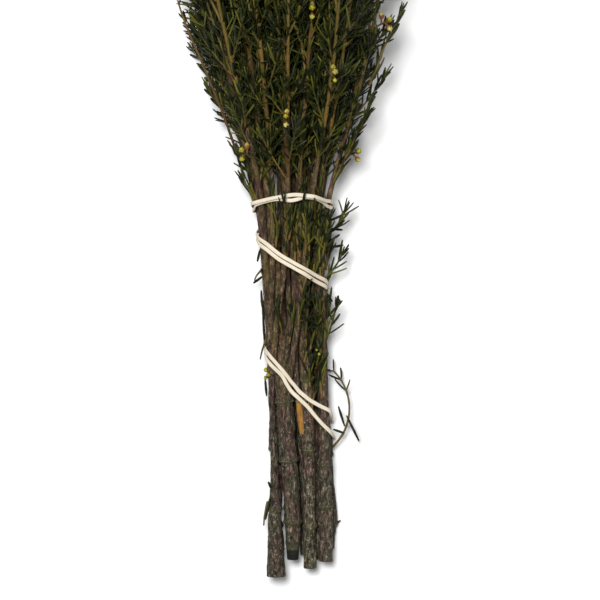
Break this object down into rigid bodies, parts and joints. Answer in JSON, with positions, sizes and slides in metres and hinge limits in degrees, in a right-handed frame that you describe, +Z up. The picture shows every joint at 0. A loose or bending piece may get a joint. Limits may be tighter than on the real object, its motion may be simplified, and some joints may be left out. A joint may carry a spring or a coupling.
{
  "type": "preserved needle-leaf herb bundle",
  "caption": "Bundle of cut woody stems with needle-like leaves and small flower buds, bound by a long pale rubber band, lying down.",
  "frame": {"origin": "on the table, at the middle of the flat underside of the rubber band's top wrap, below the bundle's waist", "axes": "+Y from the cut stem ends to the leafy tips, +X to the right seen from above, +Z up from the table"},
  "size_m": [0.1362, 0.4401, 0.091],
  "materials": {
    "bark": "rough grey-brown bark",
    "leaf": "dark green, soft sheen",
    "bud": "yellow-green, matt",
    "rubber": "cream white, matt"
  },
  "bodies": {
    "root": {"bud_sprig_1": "bud", "bud_sprig_10": "bud", "bud_sprig_2": "bud", "bud_sprig_3": "bud", "bud_sprig_4": "bud", "bud_sprig_5": "bud", "bud_sprig_6": "bud", "bud_sprig_7": "bud", "bud_sprig_8": "bud", "bud_sprig_9": "bud", "leafy_spray_1": "leaf", "leafy_spray_10": "leaf", "leafy_spray_11": "leaf", "leafy_spray_12": "leaf", "leafy_spray_13": "leaf", "leafy_spray_14": "leaf", "leafy_spray_15": "leaf", "leafy_spray_16": "leaf", "leafy_spray_17": "leaf", "leafy_spray_18": "leaf", "leafy_spray_19": "leaf", "leafy_spray_2": "leaf", "leafy_spray_20": "leaf", "leafy_spray_21": "leaf", "leafy_spray_22": "leaf", "leafy_spray_23": "leaf", "leafy_spray_24": "leaf", "leafy_spray_25": "leaf", "leafy_spray_26": "leaf", "leafy_spray_3": "leaf", "leafy_spray_4": "leaf", "leafy_spray_5": "leaf", "leafy_spray_6": "leaf", "leafy_spray_7": "leaf", "leafy_spray_8": "leaf", "leafy_spray_9": "leaf", "rubber_band": "rubber", "side_sprig_1": "leaf", "side_sprig_10": "leaf", "side_sprig_11": "leaf", "side_sprig_2": "leaf", "side_sprig_3": "leaf", "side_sprig_4": "leaf", "side_sprig_5": "leaf", "side_sprig_6": "leaf", "side_sprig_7": "leaf", "side_sprig_8": "leaf", "side_sprig_9": "leaf", "woody_stem_1": "bark", "woody_stem_2": "bark", "woody_stem_3": "bark", "woody_stem_4": "bark", "woody_stem_5": "bark", "woody_stem_6": "bark", "woody_stem_7": "bark", "woody_stem_8": "bark", "woody_stem_9": "bark"}
  },
  "joints": []
}
